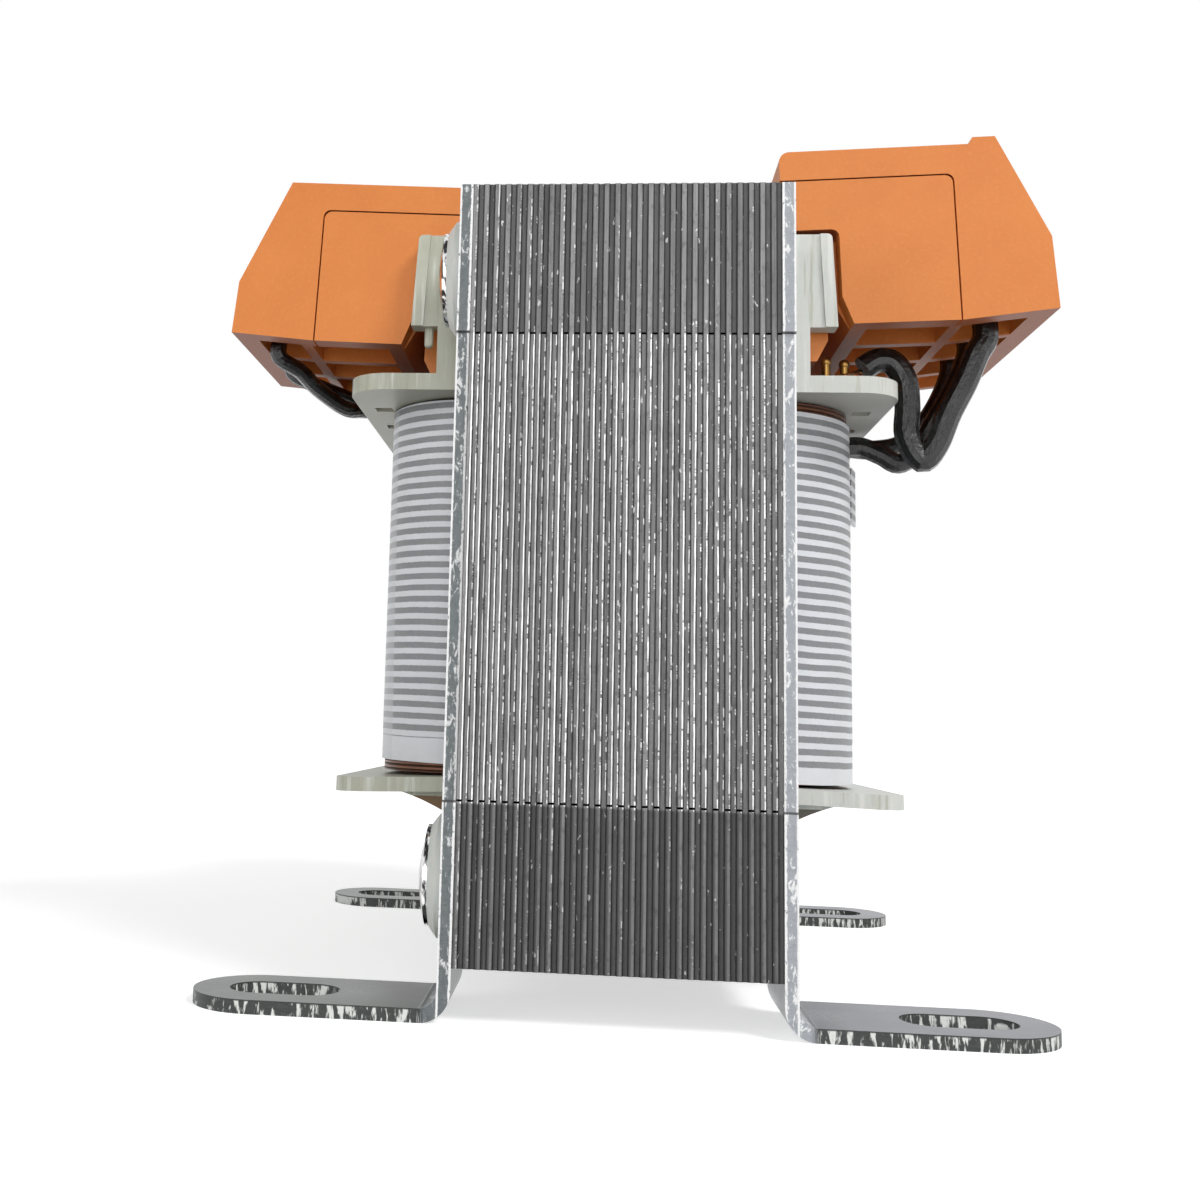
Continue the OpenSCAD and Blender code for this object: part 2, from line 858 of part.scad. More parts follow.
// The thick lead hangs in a loop outside the flange and turns back over it
module right_lead_loop() {
    tail = lead_tail(1, 1);
    a = [flange_x, tail[0][1] + 1, flange_top];
    b = tail[0];
    sleeve(concat(
        [loop_end, a + [-1.5, 0, 3.2], a + [0.1, 0.1, 3], a + [1.3, 0.1, 1.1],
            a + [1.5, 0, -1.7], a + [1.4, -0.1, -4.7], between(a, b, 0.3, 0.2, -7.2),
            between(a, b, 0.46, 0.4, -5.6), between(a, b, 0.6, 0.6, -2.4),
            between(a, b, 0.77, 0.8, 0.7), between(a, b, 0.9, 0.9, 3.6)],
        tail), thick_lead_d);
}

module right_lead_middle() {
    tail = lead_tail(1, 2);
    from = [wrap_x + fit, tail[0][1] + 1.4, upper_flange_z - 2.7];
    a = [flange_x, from[1], upper_flange_z];
    b = tail[0];
    sleeve(concat(
        [from, from + [1.5, 0, 0], a + [0.3, -0.3, -3.6], between(a, b, 0.22, 0.36, -4.5),
            between(a, b, 0.42, 0.5, -3.2), between(a, b, 0.65, 0.7, 0.3),
            between(a, b, 0.82, 0.86, 3.1)],
        tail), thin_lead_d + 0.4);
}

module right_lead_rear() {
    tail = lead_tail(1, 3);
    from = [wrap_x + fit, tail[0][1] + 1.4, upper_flange_z - 1.4];
    a = [flange_x, from[1], upper_flange_z];
    b = tail[0];
    sleeve(concat(
        [from, from + [1.5, 0, 0], a + [0.8, -0.3, -1.6], between(a, b, 0.4, 0.43, -1.1),
            between(a, b, 0.65, 0.64, 0.7), between(a, b, 0.86, 0.86, 3.7)],
        tail), thin_lead_d + 0.4);
}

// Bare ends soldered to the bars
module lead_wire_ends() {
    color([0.72, 0.42, 0.2])
        for (side = [-1, 1], k = [1 : pick(side, 2, 3)])
            in_block(side)
                translate([solder_s, way_y(k), bar_z - 2]) cylinder(d = wire_d, h = 2);
}

// Two fine wires that bow from the end of the thick lead to the right pins
module pin_wires() {
    from = loop_end - [0.3, 0, 0.3];
    color([0.72, 0.42, 0.2])
        for (i = [0, 1]) {
            pin = pin_places[2 + i];
            lead([from + [0, 0.5 * i - 0.25, 0],
                [pin[0] + 1.4, pin[1] - 0.9 + 0.8 * i, flange_top + 0.9 + 0.5 * i],
                [pin[0] + 0.6, pin[1] - 0.3, flange_top + 0.9]],
                fine_wire_d, 8, 6);
        }
}

module winding_pins() {
    color([0.72, 0.55, 0.22])
        for (p = pin_places)
            translate([p[0], p[1], flange_top]) {
                cylinder(d = pin_d, h = pin_h);
                translate([0, 0, pin_h]) sphere(d = pin_d + 0.2);
            }
}

core_e_top();
core_e_bottom();
core_i_top();
core_i_bottom();
left_bracket();
right_bracket();
bobbin();
primary_winding();
winding_barrier();
secondary_winding();
outer_wrap();
core_bolts();
bolt_tubes();
bolt_washers();
left_terminal_block();
right_terminal_block();
left_end_cover();
right_end_cover();
left_terminal_screws();
right_terminal_screws();
left_clamp_plates();
right_clamp_plates();
left_contact_bars();
right_contact_bars();
left_lead_front();
left_lead_rear();
right_lead_loop();
right_lead_middle();
right_lead_rear();
lead_wire_ends();
pin_wires();
winding_pins();
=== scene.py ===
import json
import math

import bpy
from mathutils import Matrix, Vector


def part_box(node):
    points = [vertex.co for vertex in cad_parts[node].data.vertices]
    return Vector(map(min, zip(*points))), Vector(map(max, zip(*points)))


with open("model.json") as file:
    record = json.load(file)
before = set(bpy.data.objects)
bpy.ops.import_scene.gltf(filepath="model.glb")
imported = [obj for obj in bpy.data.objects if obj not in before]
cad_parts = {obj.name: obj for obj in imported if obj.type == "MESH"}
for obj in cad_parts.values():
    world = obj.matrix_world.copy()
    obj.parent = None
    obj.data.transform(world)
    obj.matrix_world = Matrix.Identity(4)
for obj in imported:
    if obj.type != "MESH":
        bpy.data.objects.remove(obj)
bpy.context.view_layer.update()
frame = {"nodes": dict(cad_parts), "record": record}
MM = 0.001
scene = bpy.context.scene


def box_mm(node):
    low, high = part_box(node)
    return Vector(low) / MM, Vector(high) / MM


# ---------------------------------------------------------------- camera
def make_camera():
    """The photograph's view: low, close, and a little right of the middle."""
    yaw, pitch, roll = -0.0988999, 0.1432506, 0.0304191
    f = Vector((math.sin(yaw), math.cos(yaw), 0))
    r = Vector((math.cos(yaw), -math.sin(yaw), 0))
    u = Vector((0, 0, 1))
    f2 = f * math.cos(pitch) + u * math.sin(pitch)
    u2 = u * math.cos(pitch) - f * math.sin(pitch)
    r3 = r * math.cos(roll) + u2 * math.sin(roll)
    u3 = u2 * math.cos(roll) - r * math.sin(roll)
    data = bpy.data.cameras.new("camera")
    data.sensor_width = 36
    data.lens = 42.366
    data.shift_x = 0.12167
    data.shift_y = -0.07072
    data.clip_start = 0.01
    data.clip_end = 20
    cam = bpy.data.objects.new("camera", data)
    m = Matrix((r3, u3, -f2)).transposed().to_4x4()
    m.translation = Vector((-2.5846, -166.2149, 25.6780)) * MM
    cam.matrix_world = m
    scene.collection.objects.link(cam)
    scene.camera = cam


make_camera()


# ---------------------------------------------------------------- shaders
def srgb(r, g, b):
    """A colour as seen on screen, 0 to 255, as linear light."""
    out = []
    for c in (r, g, b):
        c = c / 255
        out.append(c / 12.92 if c <= 0.04045 else ((c + 0.055) / 1.055) ** 2.4)
    return (out[0], out[1], out[2], 1)


def grey(v):
    return srgb(v, v, v)


class Shader:
    """One material's node tree, with a short call for each kind of node. Lengths are mm."""

    def __init__(self, name, **sockets):
        self.mat = bpy.data.materials.new(name)
        self.mat.use_nodes = True
        self.tree = self.mat.node_tree
        self.tree.nodes.clear()
        self.bsdf = self.add("ShaderNodeBsdfPrincipled")
        out = self.add("ShaderNodeOutputMaterial")
        self.link(self.bsdf.outputs[0], out.inputs[0])
        for key, value in sockets.items():
            self.bsdf.inputs[key.replace("_", " ")].default_value = value
        pos = self.add("ShaderNodeTexCoord").outputs["Object"]
        mm = self.add("ShaderNodeVectorMath", operation="SCALE")
        self.link(pos, mm.inputs[0])
        mm.inputs["Scale"].default_value = 1000
        self.pos = mm.outputs[0]
        self.x, self.y, self.z = self.split(self.pos)
        geo = self.add("ShaderNodeNewGeometry")
        self.nx, self.ny, self.nz = self.split(geo.outputs["True Normal"])

    def add(self, kind, **props):
        n = self.tree.nodes.new(kind)
        for key, value in props.items():
            setattr(n, key, value)
        return n

    def link(self, a, b):
        self.tree.links.new(a, b)

    def put(self, value, socket):
        if isinstance(value, bpy.types.NodeSocket):
            self.link(value, socket)
        else:
            socket.default_value = value

    def split(self, vector):
        n = self.add("ShaderNodeSeparateXYZ")
        self.link(vector, n.inputs[0])
        return n.outputs[0], n.outputs[1], n.outputs[2]

    def math(self, op, *values):
        n = self.add("ShaderNodeMath", operation=op)
        for v, s in zip(values, n.inputs):
            self.put(v, s)
        return n.outputs[0]

    def plus(self, a, b):
        return self.math("ADD", a, b)

    def less(self, a, b):
        return self.math("SUBTRACT", a, b)

    def times(self, a, b):
        return self.math("MULTIPLY", a, b)

    def most(self, a, b):
        return self.math("MAXIMUM", a, b)

    def size(self, a):
        return self.math("ABSOLUTE", a)

    def step(self, value, low, high, bottom=0.0, top=1.0):
        """Runs smoothly from bottom at low to top at high, with low below high."""
        n = self.add("ShaderNodeMapRange", interpolation_type="SMOOTHSTEP")
        for v, s in zip((value, low, high, bottom, top), n.inputs):
            self.put(v, s)
        return n.outputs[0]

    def band(self, value, centre, half, soft):
        """1 within half of centre, and 0 beyond half plus soft."""
        return self.step(self.size(self.less(value, centre)), half, half + soft, 1.0, 0.0)

    def vec(self, x, y, z):
        n = self.add("ShaderNodeCombineXYZ")
        for v, s in zip((x, y, z), n.inputs):
            self.put(v, s)
        return n.outputs[0]

    def stretched(self, sx, sy, sz):
        n = self.add("ShaderNodeVectorMath", operation="MULTIPLY")
        self.link(self.pos, n.inputs[0])
        n.inputs[1].default_value = (sx, sy, sz)
        return n.outputs[0]

    def noise(self, scale=1.0, detail=3.0, rough=0.5, at=None, warp=0.0):
        n = self.add("ShaderNodeTexNoise")
        self.link(at or self.pos, n.inputs["Vector"])
        n.inputs["Scale"].default_value = scale
        n.inputs["Detail"].default_value = detail
        n.inputs["Roughness"].default_value = rough
        n.inputs["Distortion"].default_value = warp
        return n.outputs["Fac"]

    def chance(self, value):
        n = self.add("ShaderNodeTexWhiteNoise", noise_dimensions="1D")
        self.put(value, n.inputs["W"])
        return n.outputs["Value"]

    def mix(self, fac, a, b):
        n = self.add("ShaderNodeMix", data_type="RGBA")
        self.put(fac, n.inputs[0])
        self.put(a, n.inputs[6])
        self.put(b, n.inputs[7])
        return n.outputs[2]

    def between(self, fac, a, b):
        n = self.add("ShaderNodeMix", data_type="FLOAT")
        self.put(fac, n.inputs[0])
        self.put(a, n.inputs[2])
        self.put(b, n.inputs[3])
        return n.outputs[0]

    def scaled(self, colour, by):
        n = self.add("ShaderNodeVectorMath", operation="SCALE")
        self.link(colour, n.inputs[0])
        self.put(by, n.inputs["Scale"])
        return n.outputs[0]

    def colour(self, socket):
        self.link(socket, self.bsdf.inputs["Base Color"])

    def rough(self, socket):
        self.link(socket, self.bsdf.inputs["Roughness"])

    def metal(self, socket):
        self.link(socket, self.bsdf.inputs["Metallic"])

    def bump(self, height, depth=0.05, strength=1.0):
        n = self.add("ShaderNodeBump")
        n.inputs["Strength"].default_value = strength
        n.inputs["Distance"].default_value = depth * MM
        self.link(height, n.inputs["Height"])
        self.link(n.outputs[0], self.bsdf.inputs["Normal"])


CORE_LOW, CORE_HIGH = box_mm("core_e_top")
CORE_LOW = Vector((CORE_LOW.x, CORE_LOW.y, box_mm("core_i_bottom")[0].z))
CORE_HIGH = Vector((-CORE_LOW.x, CORE_HIGH.y, CORE_HIGH.z))
YOKE = (CORE_HIGH.y - CORE_LOW.y) / 6  # as in any EI sheet without waste
JOINT_LOW = CORE_LOW.z + YOKE
JOINT_HIGH = CORE_HIGH.z - YOKE
PLATE_IN = CORE_HIGH.x
PLATE_T = 1.2
STRIPE_PITCH = 1.185
SIDE = (-1, 1)  # from the part's left half to its right half
FLANGE_LOW = box_mm("bobbin")[0]


def lamination_steel():
    """Sheared sheet edges, one every half millimetre, dark, with a painted highlight along each
    broken burr and painted shade on the set-back sheets.
    """
    s = Shader("lamination_steel")
    sheets = s.times(s.less(s.x, CORE_LOW.x), 2)
    index = s.math("FLOOR", sheets)
    u = s.math("FRACT", sheets)
    odd = s.math("FLOORED_MODULO", index, 2)
    run = s.plus(s.z, s.y)
    own = s.times(s.chance(s.times(index, 1.37)), 60)
    high = s.step(s.z, JOINT_HIGH - 0.3, JOINT_HIGH)
    low = s.step(s.z, JOINT_LOW - 0.3, JOINT_LOW, 1.0, 0.0)
    middle = s.less(s.less(1, low), high)
    wander = s.noise(1, 2, 0.6, s.vec(own, s.times(run, 0.3), 0))
    streak = s.noise(1, 4, 0.7, s.vec(s.times(sheets, 4), s.times(run, 0.22), own))
    blotch = s.noise(0.17, 4, 0.6)
    grain = s.noise(1.7, 4, 0.75, s.stretched(1, 1, 0.6))
    # tone of each sheet: proud sheets light, set-back sheets painted dark as painted shade in
    # their recess, both duller below
    light = s.mix(streak, grey(70), grey(150))
    dark = s.mix(streak, grey(34), grey(86))
    base = s.mix(s.times(odd, s.between(middle, 0.95, 0.35)), light, dark)
    left_part = s.step(u, 0.25, 0.6, 1.0, 0.0)
    base = s.mix(s.times(low, s.times(left_part, 0.75)), base, grey(44))
    base = s.mix(s.times(s.step(grain, 0.5, 0.3), 0.5), base, grey(40))
    gap = s.most(s.band(u, 0.0, 0.06, 0.08), s.band(u, 1.0, 0.04, 0.08))
    base = s.mix(s.times(gap, 0.8), base, grey(16))
    # the burr along each sheet, with a painted highlight in its base colour, strong in the middle
    # and towards the left
    where = s.between(wander, 0.66, 0.92)
    wide = s.between(s.noise(1, 2, 0.5, s.vec(own, s.times(run, 0.8), 7)), 0.02, 0.16)
    near = s.size(s.less(u, where))
    line = s.step(s.less(near, wide), 0.0, 0.09, 1.0, 0.0)
    broken = s.noise(1, 4, 0.75, s.vec(own, s.times(run, 0.55), 3))
    level = s.plus(s.times(s.x, 0.006), s.times(odd, 0.13))
    level = s.plus(level, s.plus(0.36, s.times(s.less(1, middle), 0.2)))
    level = s.plus(level, s.times(s.less(s.chance(s.plus(index, 9.5)), 0.5), 0.12))
    burr_shows = s.step(s.less(broken, level), 0.0, 0.07)
    burr_and_highlight = s.times(line, burr_shows)
    base = s.mix(s.times(burr_and_highlight, s.between(middle, 0.6, 0.95)), base, grey(226))
    # small painted highlights flecked over the sheet edges
    glint_specks = s.step(s.noise(1.5, 2, 0.5, s.stretched(1.5, 1, 0.7)), 0.69, 0.73)
    base = s.mix(s.times(glint_specks, 0.7), base, grey(215))
    tone = s.between(s.chance(s.plus(index, 0.5)), 0.72, 1.28)
    level = s.times(tone, s.between(blotch, 0.72, 1.35))
    s.colour(s.scaled(base, s.times(level, s.between(low, 1.0, 0.72))))
    s.metal(s.between(burr_and_highlight, 0.25, 0.5))
    s.rough(s.between(grain, 0.28, 0.6))
    height = s.plus(s.times(streak, 0.7), s.plus(s.times(burr_and_highlight, 1.0), s.times(gap, -0.9)))
    s.bump(s.plus(height, s.times(grain, 0.8)), 0.08, 0.9)
    return s.mat


def zinc_plate():
    """Zinc plate: smooth faces with faint rolling lines, and rough sheared edges."""
    s = Shader("zinc_plate")
    out = s.size(s.x)
    foot = s.times(s.step(out, PLATE_IN + 2.2, PLATE_IN + 2.9),
                   s.step(s.z, 1.6, 2.4, 1.0, 0.0))
    face = s.step(s.between(foot, s.size(s.nx), s.size(s.nz)), 0.55, 0.8)
    across = s.between(foot, s.times(s.less(out, PLATE_IN), 1 / PLATE_T),
                       s.times(s.z, 1 / PLATE_T))
    along = s.between(foot, s.plus(s.z, s.y), s.plus(s.x, s.y))
    right = s.step(s.x, *SIDE)
    wobble = s.noise(1, 4, 0.7, s.vec(s.times(along, 0.9), 0, right))
    wobble = s.times(s.less(wobble, 0.5), 0.3)
    rim_in = s.band(s.plus(across, wobble), 0.07, 0.07, 0.07)
    rim_out = s.band(s.plus(across, s.times(wobble, 0.5)), 0.94, 0.05, 0.06)
    torn = s.vec(s.times(along, 0.9), s.times(across, 2.2), right)
    torn = s.noise(1, 4, 0.7, torn, 0.6)
    smooth = s.noise(1, 2, 0.5, s.vec(s.times(along, 0.11), 5, right))
    smooth = s.step(smooth, 0.45, 0.6)
    core_edge = s.mix(torn, srgb(62, 70, 68), srgb(128, 134, 138))
    # the right plate's edge is painted brighter: painted light, as the light falls from the right
    core_edge = s.mix(s.times(right, 0.55), core_edge, srgb(196, 200, 208))
    # burnished patches of the sheared edge painted white as painted highlights, more of them on
    # the lit right plate
    burnish_highlights = s.step(torn, s.between(smooth, 0.52, 0.64), s.between(smooth, 0.6, 0.72))
    burnish_highlights = s.times(burnish_highlights, s.between(right, 0.75, 1.0))
    wall = s.mix(burnish_highlights, core_edge, grey(238))
    # burnished rims of the sheared edge painted near white as painted highlights
    rim_highlights = s.most(s.times(rim_in, s.step(torn, 0.34, 0.44)),
                  s.times(rim_out, s.step(torn, 0.3, 0.42)))
    wall = s.mix(rim_highlights, wall, grey(246))
    ruts = s.noise(1, 3, 0.65, s.vec(s.times(along, 2.0), s.times(across, 0.5), 2), 0.3)
    foot_edge = s.mix(s.step(ruts, 0.5, 0.6), srgb(44, 48, 46), srgb(228, 230, 226))
    foot_edge = s.mix(s.step(across, 0.84, 0.95), foot_edge, srgb(38, 42, 40))
    edge = s.mix(foot, wall, foot_edge)
    joint = s.most(s.band(s.z, JOINT_LOW, 0.06, 0.08),
                   s.band(s.z, JOINT_HIGH, 0.06, 0.08))
    edge = s.mix(s.times(joint, 0.85), edge, grey(30))
    roll = s.noise(1, 3, 0.6, s.stretched(2.2, 0.25, 0.12))
    cloud = s.noise(0.13, 4, 0.6)
    rolled = s.times(roll, s.step(cloud, 0.25, 0.7))
    sheet = s.mix(rolled, srgb(116, 120, 122), srgb(176, 180, 184))
    top = s.mix(right, srgb(66, 72, 68), srgb(118, 119, 128))
    top = s.scaled(top, s.between(s.noise(0.4, 3, 0.6), 0.8, 1.2))
    up = s.times(foot, s.step(s.nz, 0.4, 0.8))
    s.colour(s.mix(face, edge, s.mix(up, sheet, top)))
    s.metal(s.times(face, s.between(up, 0.85, 0.35)))
    s.rough(s.between(face, s.between(torn, 0.3, 0.5), s.between(cloud, 0.22, 0.36)))
    rough_edge = s.plus(s.times(torn, 0.9), s.times(ruts, 0.8))
    s.bump(s.plus(s.times(rough_edge, s.between(face, 1.0, 0.03)), s.times(roll, 0.05)), 0.2, 0.7)
    return s.mat


def bobbin_nylon():
    """Pale moulded nylon with cloudy flow lines; the left half, the downward faces and the thin
    webs under the lower flange (dark amber) are painted darker as painted shade.
    """
    s = Shader("bobbin_nylon", Subsurface_Weight=0.1, Subsurface_Scale=0.001)
    cloud = s.noise(0.25, 4, 0.6)
    flow = s.noise(1, 4, 0.6, s.stretched(1.1, 1.1, 0.08))
    fine = s.noise(5, 2, 0.5)
    right = s.step(s.x, -4, 4)
    # the left half is painted darker and the right half lighter: painted shade and painted light,
    # as the light falls from the right
    base = s.mix(cloud, srgb(168, 168, 148), srgb(196, 199, 184))
    base = s.mix(right, base, s.mix(cloud, srgb(198, 200, 190), srgb(222, 224, 220)))
    wall = s.step(s.size(s.nz), 0.3, 0.6, 1.0, 0.0)
    base = s.mix(s.times(s.times(s.step(flow, 0.52, 0.7), wall), 0.6), base, srgb(236, 238, 230))
    dull = s.times(s.step(flow, 0.3, 0.44, 1.0, 0.0), wall)
    base = s.mix(s.times(dull, 0.5), base, srgb(158, 158, 134))
    # downward faces painted darker: painted shade underneath
    underside_shade = s.step(s.nz, -0.8, -0.4, 1.0, 0.0)
    base = s.mix(s.times(underside_shade, 0.45), base, srgb(112, 110, 98))
    # the thin webs under the lower flange get painted shade, dark amber on the left and dark
    # olive on the right
    web = s.step(s.z, FLANGE_LOW.z + 2.15, FLANGE_LOW.z + 2.3, 1.0, 0.0)
    web = s.times(web, s.step(s.size(s.x), PLATE_IN + 5.6, PLATE_IN + 6.2, 1.0, 0.0))
    s.colour(s.mix(web, base, s.mix(right, srgb(108, 74, 18), srgb(78, 72, 56))))
    s.rough(s.between(cloud, 0.3, 0.48))
    s.bump(s.plus(s.times(flow, 0.7), s.times(fine, 0.25)), 0.05, 0.7)
    return s.mat


def striped_tape():
    """White tape with printed grey stripes that run round the winding a little out of level."""
    s = Shader("striped_tape", Subsurface_Weight=0.04, Subsurface_Scale=0.001)
    right = s.step(s.x, *SIDE)
    wave = s.times(s.less(s.noise(0.12, 2, 0.5), 0.5), 0.3)
    level = s.plus(s.plus(s.z, s.times(s.x, 0.03)), wave)
    turn = s.times(s.less(level, s.between(right, 57.3, 58.45)), 1 / STRIPE_PITCH)
    part = s.math("FRACT", s.plus(turn, 100.5))
    rag = s.times(s.less(s.noise(2.5, 3, 0.6), 0.5), 0.08)
    stripe = s.band(s.plus(part, rag), 0.5, 0.235, 0.05)
    low = s.between(right, 23.1, 22.5)
    stripe = s.times(stripe, s.step(level, low, s.plus(low, 0.1)))
    ink = s.noise(3, 3, 0.6)
    dark = s.mix(ink, srgb(124, 126, 130), srgb(148, 149, 151))
    cloud = s.noise(0.25, 4, 0.6)
    white = s.mix(cloud, srgb(214, 215, 220), srgb(236, 237, 241))
    # a second layer of tape shows lighter at the far left
    lap = s.step(s.plus(s.x, s.times(s.z, 0.02)), -22.4, -22.2, 1.0, 0.0)
    base = s.mix(stripe, white, dark)
    s.colour(s.mix(s.times(lap, 0.4), base, srgb(206, 208, 212)))
    s.rough(s.between(cloud, 0.3, 0.5))
    s.bump(s.plus(s.times(cloud, 1.0), s.times(ink, 0.15)), 0.15, 0.6)
    return s.mat


def orange_plastic():
    """Moulded orange plastic with a fine spark-eroded texture, and painted dark red shade
    underneath.
    """
    s = Shader("orange_plastic", Subsurface_Weight=0.06, Subsurface_Scale=0.001)
    cloud = s.noise(0.14, 4, 0.6)
    grain = s.noise(2.4, 4, 0.7)
    underside_shade = s.step(s.nz, -0.75, -0.2, 1.0, 0.0)
    base = s.mix(cloud, srgb(206, 116, 44), srgb(226, 136, 60))
    base = s.mix(s.times(s.step(grain, 0.5, 0.75), 0.3), base, srgb(240, 158, 86))
    base = s.mix(s.times(s.step(grain, 0.25, 0.42, 1.0, 0.0), 0.25), base, srgb(186, 96, 32))
    # downward faces painted dark red: painted shade underneath
    s.colour(s.mix(s.times(underside_shade, 0.8), base, srgb(112, 48, 24)))
    s.rough(s.between(grain, 0.4, 0.6))
    s.bump(s.plus(s.times(grain, 0.8), s.times(cloud, 0.8)), 0.05, 0.7)
    return s.mat


def plain_metal(name, dark, light, rough_low, rough_high, scratch=4.0):
    s = Shader(name)
    cloud = s.noise(0.9, 4, 0.6)
    lines = s.noise(1, 3, 0.6, s.stretched(scratch, scratch * 0.3, scratch))
    s.colour(s.mix(s.times(s.plus(cloud, lines), 0.5), dark, light))
    s.metal(s.between(cloud, 0.9, 1.0))
    s.rough(s.between(cloud, rough_low, rough_high))
    s.bump(s.plus(cloud, s.times(lines, 0.4)), 0.03, 0.5)
    return s.mat


def bolt_plating():
    """Bright domed heads with dark and light streaks painted into the colour: a painted
    reflection such as a shiny dome picks up.
    """
    s = Shader("bolt_plating", Metallic=1.0)
    swirl = s.noise(0.55, 4, 0.6, s.stretched(2.4, 1.2, 0.7), 1.2)
    # painted reflection: dark and bright streaks in the base colour
    s.colour(s.mix(s.step(swirl, 0.46, 0.56), grey(46), grey(236)))
    s.rough(s.between(swirl, 0.08, 0.2))
    s.bump(s.noise(1.5, 3, 0.6), 0.05, 0.5)
    return s.mat


def white_nylon():
    s = Shader("white_nylon", Subsurface_Weight=0.12, Subsurface_Scale=0.001)
    cloud = s.noise(0.5, 3, 0.5)
    s.colour(s.mix(cloud, srgb(206, 209, 204), srgb(224, 226, 220)))
    s.rough(s.between(cloud, 0.35, 0.5))
    s.bump(s.noise(2, 4, 0.6), 0.05, 0.5)
    return s.mat


def black_sleeve():
    """Black varnished sleeving: a wet gloss broken by small ripples."""
    s = Shader("black_sleeve", Coat_Weight=0.35, Coat_Roughness=0.08, Specular_IOR_Level=0.4)
    cloud = s.noise(1.0, 4, 0.65)
    s.colour(s.mix(cloud, grey(8), grey(22)))
    s.rough(s.between(cloud, 0.14, 0.3))
    s.bump(s.noise(1.3, 4, 0.65, s.stretched(1, 1, 0.7)), 0.25, 0.8)
    return s.mat


def enamelled_copper():
    s = Shader("enamelled_copper")
    turns = s.math("FRACT", s.times(s.z, 2.2))
    wire = s.band(turns, 0.5, 0.2, 0.3)
    cloud = s.noise(0.8, 3, 0.5)
    base = s.mix(cloud, srgb(86, 46, 26), srgb(138, 80, 44))
    # dark lines between the turns: painted shade in the grooves between the wires
    s.colour(s.mix(wire, srgb(34, 20, 14), base))
    s.rough(s.between(cloud, 0.25, 0.4))
    s.bump(wire, 0.2, 0.9)
    return s.mat


def film(name, low, high):
    s = Shader(name, Coat_Weight=0.3)
    cloud = s.noise(0.5, 4, 0.65)
    s.colour(s.mix(cloud, low, high))
    s.rough(s.between(cloud, 0.2, 0.45))
    s.bump(cloud, 0.15, 0.6)
    return s.mat


MATERIALS = {
    "lamination_steel": lamination_steel(),
    "zinc_plate": zinc_plate(),
    "bobbin_nylon": bobbin_nylon(),
    "enamelled_copper": enamelled_copper(),
    "amber_film": film("amber_film", srgb(150, 98, 30), srgb(206, 150, 62)),
    "striped_tape": striped_tape(),
    "bolt_plating": bolt_plating(),
    "white_nylon": white_nylon(),
    "orange_plastic": orange_plastic(),
    "screw_steel": plain_metal("screw_steel",
                                  srgb(150, 150, 140), srgb(206, 204, 190), 0.2, 0.35),
    "terminal_brass": plain_metal("terminal_brass",
                                  srgb(110, 78, 36), srgb(190, 150, 86), 0.25, 0.45),
    "black_sleeve": black_sleeve(),
    "bare_copper": plain_metal("bare_copper",
                                  srgb(170, 104, 60), srgb(236, 180, 128), 0.16, 0.3),
}

for entry in frame["record"]["subparts"]:
    for place in frame["nodes"][entry["node"]].material_slots:
        place.material = MATERIALS[entry["material_slot"]]


def soften(width, segments, *nodes):
    """Rounds the sharp edges of CAD nodes a little, as the real ones are."""
    for name in nodes:
        node = frame["nodes"][name]
        flat = node.modifiers.new("flat", "DECIMATE")
        flat.decimate_type = "DISSOLVE"
        flat.angle_limit = math.radians(1)
        bevel = node.modifiers.new("bevel", "BEVEL")
        bevel.width = width * MM
        bevel.segments = segments
        bevel.limit_method = "ANGLE"
        bevel.angle_limit = math.radians(35)


soften(0.3, 3, "left_terminal_block", "right_terminal_block",
       "left_end_cover", "right_end_cover")
soften(0.2, 2, "bobbin")
soften(0.12, 2, "left_bracket", "right_bracket")


# ---------------------------------------------------------------- studio
def stage_material():
    """A pale floor that looks white to the camera and keeps the object's shadow."""
    mat = bpy.data.materials.new("studio_floor")
    mat.use_nodes = True
    tree = mat.node_tree
    tree.nodes.clear()
    out = tree.nodes.new("ShaderNodeOutputMaterial")
    add = tree.nodes.new("ShaderNodeAddShader")
    diffuse = tree.nodes.new("ShaderNodeBsdfDiffuse")
    diffuse.inputs["Color"].default_value = (0.8, 0.8, 0.8, 1)
    glow = tree.nodes.new("ShaderNodeEmission")
    rays = tree.nodes.new("ShaderNodeLightPath")
    sees = tree.nodes.new("ShaderNodeMath")
    sees.operation = "MAXIMUM"
    tree.links.new(rays.outputs["Is Camera Ray"], sees.inputs[0])
    tree.links.new(rays.outputs["Is Glossy Ray"], sees.inputs[1])
    place = tree.nodes.new("ShaderNodeTexCoord")
    reach = tree.nodes.new("ShaderNodeVectorMath")
    reach.operation = "LENGTH"
    tree.links.new(place.outputs["Object"], reach.inputs[0])
    far = tree.nodes.new("ShaderNodeMapRange")
    for socket, value in (("From Min", 0.06), ("From Max", 0.45),
                          ("To Min", 0.6), ("To Max", 1.0)):
        far.inputs[socket].default_value = value
    tree.links.new(reach.outputs["Value"], far.inputs["Value"])
    power = tree.nodes.new("ShaderNodeMath")
    power.operation = "MULTIPLY"
    tree.links.new(sees.outputs[0], power.inputs[0])
    tree.links.new(far.outputs[0], power.inputs[1])
    tree.links.new(power.outputs[0], glow.inputs["Strength"])
    tree.links.new(diffuse.outputs[0], add.inputs[0])
    tree.links.new(glow.outputs[0], add.inputs[1])
    tree.links.new(add.outputs[0], out.inputs[0])
    return mat


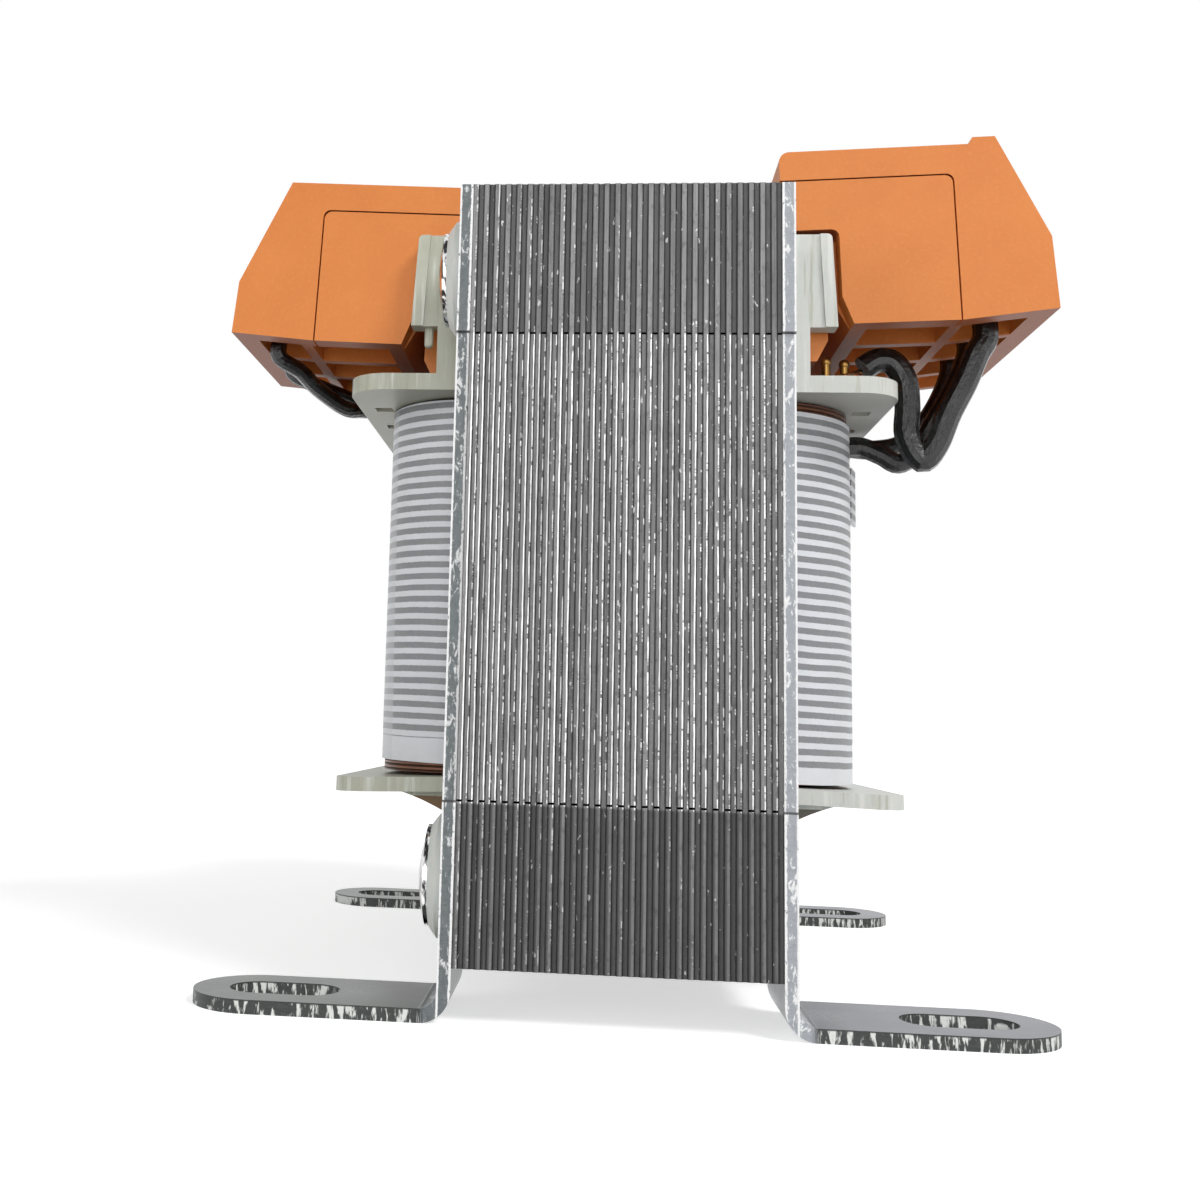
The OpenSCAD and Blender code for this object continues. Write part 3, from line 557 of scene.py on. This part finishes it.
def make_floor():
    mesh = bpy.data.meshes.new("floor")
    r = 3.0
    mesh.from_pydata([(-r, -r, 0), (r, -r, 0), (r, r, 0), (-r, r, 0)], [], [(0, 1, 2, 3)])
    floor = bpy.data.objects.new("floor", mesh)
    floor.location.z = -0.02 * MM
    mesh.materials.append(stage_material())
    scene.collection.objects.link(floor)


def make_world():
    world = bpy.data.worlds.new("studio")
    world.use_nodes = True
    scene.world = world
    tree = world.node_tree
    tree.nodes.clear()
    out = tree.nodes.new("ShaderNodeOutputWorld")
    back = tree.nodes.new("ShaderNodeBackground")
    back.inputs["Color"].default_value = (1, 1, 1, 1)
    rays = tree.nodes.new("ShaderNodeLightPath")
    most = tree.nodes.new("ShaderNodeMath")
    most.operation = "MAXIMUM"
    tree.links.new(rays.outputs["Is Camera Ray"], most.inputs[0])
    tree.links.new(rays.outputs["Is Transmission Ray"], most.inputs[1])
    glossy = tree.nodes.new("ShaderNodeMath")
    glossy.operation = "MAXIMUM"
    tree.links.new(most.outputs[0], glossy.inputs[0])
    tree.links.new(rays.outputs["Is Glossy Ray"], glossy.inputs[1])
    level = tree.nodes.new("ShaderNodeMapRange")
    level.inputs["To Min"].default_value = 0.28
    level.inputs["To Max"].default_value = 1.0
    tree.links.new(glossy.outputs[0], level.inputs["Value"])
    tree.links.new(level.outputs[0], back.inputs["Strength"])
    tree.links.new(back.outputs[0], out.inputs[0])


def lamp(name, where, target, size, power, colour=(1, 1, 1)):
    data = bpy.data.lights.new(name, "AREA")
    data.shape = "DISK"
    data.size = size
    data.energy = power
    data.color = colour
    light = bpy.data.objects.new(name, data)
    light.location = where
    aim = Vector(target) - Vector(where)
    light.rotation_euler = aim.to_track_quat("-Z", "Y").to_euler()
    scene.collection.objects.link(light)


LAMP_AIM = (0, 0, 0.04)
make_floor()
make_world()
lamp("key", (0.55, -0.5, 0.75), LAMP_AIM, 0.35, 5.4)
lamp("fill", (-0.7, -0.6, 0.35), LAMP_AIM, 0.6, 1.8)
lamp("front", (0.05, -0.9, 0.2), LAMP_AIM, 0.5, 1.8)
scene.view_settings.view_transform = "Standard"
